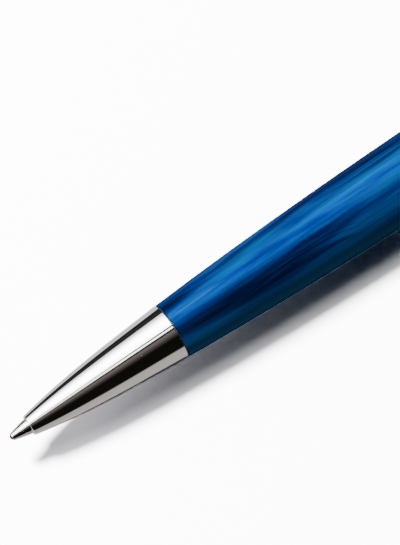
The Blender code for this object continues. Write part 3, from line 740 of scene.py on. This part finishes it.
def outer_side(row):
    """Rings that crowd towards both ends, on the swelling curve, with rounded ends."""
    gap = 1 / (given["Rings"] - 1)
    inner = ((row - gap) / (1 - 2 * gap)).maths("MAXIMUM", 0.0).maths("MINIMUM", 1.0)
    t = (1 - (inner * math.pi).maths("COSINE")) / 2
    x = t * given["Length"]
    square, cube = t * t, t * t * t
    radius = given["Front radius"] * (2 * cube - 3 * square + 1)
    radius = radius + given["Front slope"] * given["Length"] * (cube - 2 * square + t)
    radius = radius + given["Rear radius"] * (3 * square - 2 * cube)
    radius = radius + given["Rear slope"] * given["Length"] * (cube - square)
    near = x.maths("MINIMUM", given["Length"] - x)
    inside = given["Edge"] - near.maths("MINIMUM", given["Edge"])
    drop = given["Edge"] * given["Edge"] - inside * inside
    radius = radius - given["Edge"] + drop.maths("SQRT")
    last = row.maths("GREATER_THAN", 1 - gap / 2)
    first = row.maths("LESS_THAN", gap / 2)
    cap = first + last
    return x, radius * (1 - cap) + given["Bore"] * cap


def bore_side(row):
    """Two rings, from the rear to the front, so that the wall faces inwards."""
    return (1 - row) * given["Length"], given["Bore"]


outside = rolled_grid(given["Rings"], outer_side)
inside = rolled_grid(2, bore_side)
whole = sleeve.node("GeometryNodeJoinGeometry", {}, {"Geometry": outside})
sleeve.join(whole.socket.node, "Geometry", inside)
whole = sleeve.node("GeometryNodeMergeByDistance", {}, {"Geometry": whole, "Distance": merge_distance})
real = sleeve.node("GeometryNodeRealizeInstances", {}, {"Geometry": whole})
finished = sleeve.node(
    "GeometryNodeSetMaterial", {}, {"Geometry": real, "Material": given["Material"]}
)
sleeve.node("NodeGroupOutput", {}, {"Geometry": finished})

barrel = formed(
    "barrel_sleeve",
    sleeve,
    {
        "Start": along(barrel_front),
        "Length": (barrel_end - barrel_front) * MM,
        "Front radius": seam_r * MM,
        "Rear radius": barrel_rear_r * MM,
        "Front slope": barrel_slope_front,
        "Rear slope": barrel_slope_rear,
        "Bore": barrel_bore * MM,
        "Edge": broken_edge * MM,
        "Rings": 200,
        "Sides": 160,
        "Material": marbled_resin,
    },
)
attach(barrel, "barrel")
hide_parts("barrel_shell")
finish_node("barrel_liner", brass)


# ---------------------------------------------------------------- twist mechanism
# A slotted brass tube in the barrel and a plastic sleeve with helical slots in the cap. A steel
# pin through both pushes the refill out as the cap turns. A circlip and an o-ring hold it all.

finish_node("stator_tube", brass)
finish_node("cam_sleeve", grey_acetal)
finish_node("follower_plunger", grey_acetal)
finish_node("cross_pin", spring_steel)
finish_node("retaining_ring", spring_steel)
finish_node("turning_seal", black_nitrile)

washer_front = barrel_end + seam_gap
washer_end = washer_front + 0.3
washer_low, washer_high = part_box("thrust_washer")
washer_r = (washer_high.y - washer_low.y) / 2 / MM
turning_bore = 3.6
outline = softened(
    [
        (washer_front, washer_r, 0.06),
        (washer_end, washer_r, 0.06),
        (washer_end, turning_bore, 0.04),
        (washer_front, turning_bore, 0.04),
    ]
)
thrust_washer = turned("thrust_washer_punched", outline, black_nylon, sides=128)
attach(thrust_washer, "barrel")
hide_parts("thrust_washer")


# ---------------------------------------------------------------- centre ring
# A brass band, turned with two fine grooves, polished and chrome plated. It is pressed on the
# front of the cap's liner, and turns with the cap.

ring_front = washer_end + seam_gap
ring_end = ring_front + 3.2
ring_r = 6.2
ring_face_r = barrel_rear_r - broken_edge
ring_chamfer = 0.25
ring_lip = 1.2
cap_bore = 4.65
groove_inset = 0.55
groove_width = 0.3
groove_depth = 0.15

corners = [(ring_front, ring_face_r, 0.04), (ring_front + ring_chamfer, ring_r, 0.14)]
for groove in (ring_front + groove_inset, ring_end - groove_inset - groove_width):
    corners.append((groove, ring_r, 0.05))
    corners.append((groove + groove_width / 2, ring_r - groove_depth, 0.07))
    corners.append((groove + groove_width, ring_r, 0.05))
corners += [
    (ring_end - ring_chamfer, ring_r, 0.14),
    (ring_end, ring_face_r, 0.04),
    (ring_end, cap_bore, 0),
    (ring_front + ring_lip, cap_bore, 0),
    (ring_front + ring_lip, turning_bore, 0),
    (ring_front, turning_bore, 0.06),
]
centre_ring = turned("centre_ring_plated", softened(corners), polished_chrome, sides=192)
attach(centre_ring, "cap")
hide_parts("centre_ring")


# ---------------------------------------------------------------- cap
# A second resin sleeve, cut from the same rod and tapering to the clip, glued round a brass
# liner. A brass plug in the liner's end takes the finial's threaded stud.

cap_front = ring_end + seam_gap
cap_end = 126.06
cap_rear_r = 5.4
cap_slope_rear = -0.0243

cap = formed(
    "cap_sleeve",
    sleeve,
    {
        "Start": along(cap_front),
        "Length": (cap_end - cap_front) * MM,
        "Front radius": barrel_rear_r * MM,
        "Rear radius": cap_rear_r * MM,
        "Front slope": 0.0,
        "Rear slope": cap_slope_rear,
        "Bore": cap_bore * MM,
        "Edge": broken_edge * MM,
        "Rings": 180,
        "Sides": 160,
        "Material": marbled_resin,
    },
)
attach(cap, "cap")
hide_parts("cap_shell")
finish_node("cap_liner", brass)
finish_node("liner_plug", brass)


# ---------------------------------------------------------------- clip seat
# A chrome-plated collar, clamped between the cap and the finial. A milled slot takes the clip's
# lug, and a hole drilled across it takes the hinge pin.

seat_front = cap_end + seam_gap
seat_end = seat_front + 7.7
seat_bore = 2.05
pin_station = 129.97
pin_height = 4.2
pin_r = 0.5
slot_length = 5.6
slot_half_width = 1.1
slot_floor = 2.45
drill_gap = 0.05
drill_rounding = 0.1
rod_sides = 32
clip_turn = math.radians(127.333)


def from_hinge(x, y, z):
    """A place in metres, from millimetres along, across and outwards of the hinge pin."""
    out = z + pin_height
    return Vector(
        (
            pen_front + (pin_station + x) * MM,
            axis_y + (y * math.cos(clip_turn) - out * math.sin(clip_turn)) * MM,
            axis_z + (y * math.sin(clip_turn) + out * math.cos(clip_turn)) * MM,
        )
    )


def lofted(name, rings, finish):
    """A closed piece through rings of hinge places, which all have the same count."""
    shape = bmesh.new()
    made = [[shape.verts.new(from_hinge(*place)) for place in ring] for ring in rings]
    for first, second in zip(made, made[1:]):
        for i in range(len(first)):
            j = (i + 1) % len(first)
            shape.faces.new((first[i], first[j], second[j], second[i]))
    shape.faces.new(made[0])
    shape.faces.new(made[-1])
    return keep(name, shape, finish)


def rod_rings(radius, half_length, rounding):
    """Rings of a round rod that lies across the hinge, with its ends rounded over."""
    ends = []
    for step in range(4):
        angle = math.pi / 2 * step / 3
        inset = rounding * (1 - math.sin(angle))
        ends.append((-half_length + rounding * (1 - math.cos(angle)), radius - inset))
    ends += [(-y, r) for y, r in reversed(ends)]
    rings = []
    for y, r in ends:
        ring = []
        for i in range(rod_sides):
            angle = 2 * math.pi * i / rod_sides
            ring.append((r * math.cos(angle), y, r * math.sin(angle)))
        rings.append(ring)
    return rings


def combined(piece, other, operation):
    """Joins or cuts one closed piece with another, which is used up."""
    change = piece.modifiers.new("combined", "BOOLEAN")
    change.operation = operation
    change.solver = "EXACT"
    change.object = other
    settle(piece)
    bpy.data.objects.remove(other)


def edges_broken(piece, width):
    """Takes the sharpness off a cut piece's edges."""
    breaking = piece.modifiers.new("breaking", "BEVEL")
    breaking.width = width * MM
    breaking.segments = 2
    breaking.limit_method = "ANGLE"
    breaking.angle_limit = math.radians(40)
    settle(piece)


outline = softened(
    [
        (seat_front, cap_rear_r, broken_edge),
        (seat_end, cap_rear_r, broken_edge),
        (seat_end, seat_bore, 0),
        (seat_front, seat_bore, 0),
    ]
)
clip_seat = turned("clip_seat_plated", outline, polished_chrome, sides=128)
low = slot_floor - pin_height
high = 2 * cap_rear_r
y = slot_half_width
slot_rings = []
for x in (-slot_length / 2, slot_length / 2):
    slot_rings.append([(x, -y, low), (x, y, low), (x, y, high), (x, -y, high)])
combined(clip_seat, lofted("slot_cutter", slot_rings, polished_chrome), "DIFFERENCE")
drill_rings = rod_rings(pin_r + drill_gap, 2 * cap_rear_r, drill_rounding)
combined(clip_seat, lofted("drill", drill_rings, polished_chrome), "DIFFERENCE")
edges_broken(clip_seat, plated_edge)
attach(clip_seat, "cap")
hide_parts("clip_seat")


# ---------------------------------------------------------------- clip pin
# A ground steel pin with rounded ends, pressed through the seat. The clip hinges on it.

pin_half_length = 2.54
pin_rounding = 0.1

pin_rings = rod_rings(pin_r, pin_half_length, pin_rounding)
clip_pin = lofted("clip_pin_ground", pin_rings, spring_steel)
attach(clip_pin, "cap")
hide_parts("clip_pin")


# ---------------------------------------------------------------- clip
# Cast in one piece, polished and chrome plated: a slender arched arm with a crowned back, a ball
# that slides over a pocket's edge, and a flat lug with the hinge's eye, which sits in the slot.

clip_reach = 41.4
clip_ball_r = 1.5
clip_ball_height = 7.75
lug_half_length = 2.4
lug_width = 1.8
lug_low = 3.3
tail_low = 3.65
tail_rise = 0.14
arm_thickness = 0.9
arm_width_root = 2.8
arm_width_tip = 1.9
arm_arch = 0.5
arm_root = cap_rear_r + 1.1 + arm_thickness / 2
arm_rounding = 0.3
arm_crown = 0.10
arm_squareness = 3.6
arm_sides = 32
arm_steps = 72
end_steps = 6
eye_wall = 0.4
eye_gap = 0.1


def arm_ring(t, inset):
    """The arm's section at a part of its length: flat sides, soft corners and a crowned back."""
    x = lug_half_length - (lug_half_length + clip_reach) * t
    half_width = (arm_width_root + (arm_width_tip - arm_width_root) * t) / 2 - inset
    half_depth = arm_thickness / 2 - inset
    middle = arm_root + (clip_ball_height - arm_root) * t + arm_arch * math.sin(math.pi * t)
    ring = []
    for i in range(arm_sides):
        angle = 2 * math.pi * i / arm_sides
        y = math.copysign(abs(math.cos(angle)) ** (2 / arm_squareness), math.cos(angle))
        z = math.copysign(abs(math.sin(angle)) ** (2 / arm_squareness), math.sin(angle))
        crown = arm_crown * y * y * (z > 0)
        ring.append((x, half_width * y, middle - pin_height + half_depth * (z - crown)))
    return ring


arm_rings = []
for step in range(end_steps):
    angle = math.pi / 2 * step / end_steps
    back = arm_rounding * (1 - math.cos(angle)) / (lug_half_length + clip_reach)
    arm_rings.append(arm_ring(back, arm_rounding * (1 - math.sin(angle))))
for step in range(1, arm_steps + 1):
    arm_rings.append(arm_ring(step / arm_steps, 0.0))
clip = lofted("clip_cast", arm_rings, polished_chrome)

profile = [
    (-lug_half_length, arm_root),
    (-lug_half_length, pin_height),
    (-pin_r - eye_wall, lug_low),
    (pin_r + eye_wall, lug_low),
    (pin_r + eye_wall, tail_low),
    (lug_half_length, tail_low + tail_rise),
    (lug_half_length, arm_root),
]
lug_rings = []
for y in (-lug_width / 2, lug_width / 2):
    lug_rings.append([(x, y, height - pin_height) for x, height in profile])
combined(clip, lofted("clip_lug", lug_rings, polished_chrome), "UNION")

shape = bmesh.new()
bmesh.ops.create_icosphere(shape, subdivisions=4, radius=clip_ball_r * MM)
ball_place = from_hinge(-clip_reach, 0, clip_ball_height - pin_height)
bmesh.ops.translate(shape, verts=shape.verts, vec=ball_place)
combined(clip, keep("clip_ball", shape, polished_chrome), "UNION")
eye_rings = rod_rings(pin_r + eye_gap, 2 * lug_width, drill_rounding)
combined(clip, lofted("eye_drill", eye_rings, polished_chrome), "DIFFERENCE")
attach(clip, "clip")
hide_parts("clip")
finish_node("clip_spring", spring_steel)


# ---------------------------------------------------------------- finial
# The pen's end piece: turned, polished and chrome plated, with a long stud that screws into the
# liner's plug and clamps the clip seat. Its recess holds a small disc of the same marbled resin.

finial_front = seat_end + seam_gap
finial_end = finial_front + 6.1
stud_r = 2.0
stud_front = cap_end - 6.0
face_r = 3.2
inlay_r = 2.5
inlay_t = 0.8
inlay_gap = 0.05
inlay_crown = 0.2
inlay_steps = 8
dome = 3.782
dome_steps = 24

corners = [
    (stud_front, 0, 0),
    (stud_front, stud_r, 0.15),
    (finial_front, stud_r, 0),
    (finial_front, cap_rear_r, broken_edge),
    (finial_end - dome, cap_rear_r, 0),
]
for step in range(1, dome_steps):
    angle = math.pi / 2 * step / dome_steps
    x = finial_end - dome + dome * math.sin(angle)
    corners.append((x, face_r + (cap_rear_r - face_r) * math.cos(angle), 0))
recess_floor = finial_end - inlay_t - seam_gap
corners += [
    (finial_end, face_r, 0.05),
    (finial_end, inlay_r + inlay_gap, 0.06),
    (recess_floor, inlay_r + inlay_gap, 0),
    (recess_floor, 0, 0),
]
finial = turned("finial_plated", softened(corners), polished_chrome, sides=192, closed=False)
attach(finial, "cap")
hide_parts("finial")

corners = [(finial_end - inlay_t, 0, 0), (finial_end - inlay_t, inlay_r, 0.05)]
for step in range(inlay_steps + 1):
    angle = math.pi / 2 * step / inlay_steps
    x = finial_end - inlay_crown + inlay_crown * math.sin(angle)
    corners.append((x, inlay_r * math.cos(angle) ** 0.4, 0))
inlay = turned("finial_inlay_domed", softened(corners), marbled_resin, sides=128, closed=False)
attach(inlay, "cap")
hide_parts("finial_inlay")


# ---------------------------------------------------------------- table
# A smooth white table, wide enough that its edge is never in view. The camera sees it burnt out to
# white, as under strong light. What it gives back to the pen is dimmer, and less at each bounce. On
# the pen's near side what it gives back is darker still: painted shade for the pen's shadow on it.

table_seen = (7.5, 7.5, 7.6, 1)
# The next colour is painted shade: the table's near side, darker where the pen's shadow falls.
table_painted_shade = (0.33, 0.305, 0.295, 1)
table_beyond = (0.6, 0.595, 0.59, 1)
table_far = (0.01, 0.01, 0.01, 1)
table_spent = (0.02, 0.02, 0.02, 1)
painted_shade_fade = (-0.012, 0.0)
far_back = (0.030, 0.042)

table_material = bpy.data.materials.new("white_table")
table_material.use_nodes = True
table = Sheet(table_material.node_tree)
where = table.node("ShaderNodeTexCoord", {}, {}, "Object")
where = split_xyz(table, where)[1]
# Painted shade: the table gives back less on the pen's near side, where its shadow falls.
white = mixed(table, ranged(table, where, *painted_shade_fade), table_painted_shade, table_beyond)
white = mixed(table, ranged(table, where, *far_back), white, table_far)
depth = table.node("ShaderNodeLightPath", {}, {}, "Diffuse Depth")
first_bounce = table.node("ShaderNodeLightPath", {}, {}, "Is Diffuse Ray")
spent = (depth - first_bounce).maths("GREATER_THAN", 0.5)
white = mixed(table, spent, white, table_spent)
seen = table.node("ShaderNodeLightPath", {}, {}, "Is Camera Ray")
white = mixed(table, seen, white, table_seen)
diffuse = table.node("ShaderNodeBsdfDiffuse", {}, {"Color": white})
table.node("ShaderNodeOutputMaterial", {}, {"Surface": diffuse})
bpy.ops.mesh.primitive_plane_add(size=12)
floor = bpy.context.active_object
floor.name = "table_top"
floor.data.materials.append(table_material)


# ---------------------------------------------------------------- studio
# Two round lamps above and beyond the pen, a small bright one and a large faint one. Shiny surfaces
# see a room of long soft panels instead, and matt ones a low strip of light on the far side.

room_seen = (15, 15, 15, 1)
panel_strength = 16.0

world = bpy.data.worlds.new("studio")
bpy.context.scene.world = world
world.use_nodes = True
# The room is found by each surface's own rays, so that a shiny and a matt one can see it apart.
world.cycles.sampling_method = "NONE"
room = Sheet(world.node_tree)
direction = room.node("ShaderNodeTexCoord", {}, {}, "Generated")
tipward, toward, height = split_xyz(room, direction)
round_turn = height.maths("ARCTAN2", toward) * (180 / math.pi)

# Turns round the pen's length in degrees, from the far side of the table, and panel colours.
panels = [
    (0, (0.002, 0.002, 0.002)),
    (17, (0.002, 0.002, 0.002)),
    (20, (0.08, 0.08, 0.08)),
    (29, (0.17, 0.17, 0.17)),
    (39, (0.47, 0.47, 0.47)),
    (48, (0.80, 0.80, 0.80)),
    (57, (1.0, 1.0, 1.0)),
    (68, (0.90, 0.90, 0.90)),
    (81, (0.62, 0.62, 0.62)),
    (82.2, (0.002, 0.002, 0.002)),
    (88, (0.002, 0.002, 0.002)),
    (89.5, (0.36, 0.36, 0.36)),
    (92.5, (0.36, 0.36, 0.36)),
    (94.5, (0.002, 0.002, 0.002)),
    (100, (0.002, 0.002, 0.002)),
    (104, (0.013, 0.0110, 0.0102)),
    (110, (0.0095, 0.0082, 0.0076)),
    (118, (0.0045, 0.0039, 0.0036)),
    (130, (0.0004, 0.0004, 0.0003)),
    (174, (0.0004, 0.0004, 0.0003)),
    (180, (0.002, 0.002, 0.002)),
]
stops = [(turn / 180, colour) for turn, colour in panels]
studio = room.node("ShaderNodeValToRGB", {"stops": stops}, {"Fac": round_turn / 180}, "Color")

camera_ray = room.node("ShaderNodeLightPath", {}, {}, "Is Camera Ray")
bounces = room.node("ShaderNodeLightPath", {}, {}, "Diffuse Depth")
diffuse_ray = bounces.maths("GREATER_THAN", 0.5)
skimming = ranged(room, height, 0.60, 0.50) * ranged(room, toward, 0.0, 0.2)
skimming = skimming * (0.25 + 1.5 * ranged(room, tipward, -0.4, -0.95))
soft = room.node(
    "ShaderNodeCombineColor",
    {},
    {"Red": skimming + 0.0003, "Green": skimming * 0.99 + 0.0006, "Blue": skimming * 1.06 + 0.0018},
)
sockets = {0: studio, "Scale": panel_strength}
panel_light = room.node("ShaderNodeVectorMath", {"operation": "SCALE"}, sockets)
colour = mixed(room, diffuse_ray, panel_light, soft)
colour = mixed(room, camera_ray, colour, room_seen)
background = room.node("ShaderNodeBackground", {}, {"Color": colour})
room.node("ShaderNodeOutputWorld", {}, {"Surface": background})

# Each lamp hangs a metre from the lit spot: its name, height in degrees, width and watts.
lamps = [("key_lamp", 57.6, 0.24, 18.5), ("soft_lamp", 64.0, 0.55, 1.3)]
lit_spot = Vector(along(45))
lamp_swing = math.radians(-25)
lamp_level = Vector((math.sin(lamp_swing), math.cos(lamp_swing), 0))
for name, degrees, size, energy in lamps:
    lamp_height = math.radians(degrees)
    lamp_way = lamp_level * math.cos(lamp_height) + Vector((0, 0, math.sin(lamp_height)))
    lamp_data = bpy.data.lights.new(name, "AREA")
    lamp_data.shape = "DISK"
    lamp_data.size = size
    lamp_data.energy = energy
    lamp = bpy.data.objects.new(name, lamp_data)
    bpy.context.scene.collection.objects.link(lamp)
    lamp.location = lit_spot + lamp_way
    lamp.rotation_euler = lamp_way.to_track_quat("Z", "Y").to_euler()
    lamp.visible_glossy = False


# ---------------------------------------------------------------- camera
# A long lens, looking steeply down at the front half of the pen.

camera_turn = math.radians(34.49)
camera_drop = math.radians(73.62)
camera_distance = 0.6
aim_station = 35
aim_left = 2.175
aim_up = 4.267
focal_length = 381.015

right = Vector((math.cos(camera_turn), -math.sin(camera_turn), 0))
forward = Vector((math.sin(camera_turn), math.cos(camera_turn), 0)) * math.cos(camera_drop)
forward.z = -math.sin(camera_drop)
above = right.cross(forward)
aim = Vector(along(aim_station)) - aim_left * MM * right + aim_up * MM * above
lens = bpy.data.cameras.new("camera")
lens.sensor_width = 36.0
lens.sensor_fit = "HORIZONTAL"
lens.lens = focal_length
lens.clip_start = 0.01
lens.clip_end = 100.0
camera = bpy.data.objects.new("camera", lens)
camera.location = aim - camera_distance * forward
camera.rotation_euler = (-forward).to_track_quat("Z", "Y").to_euler()
bpy.context.scene.collection.objects.link(camera)
bpy.context.scene.camera = camera
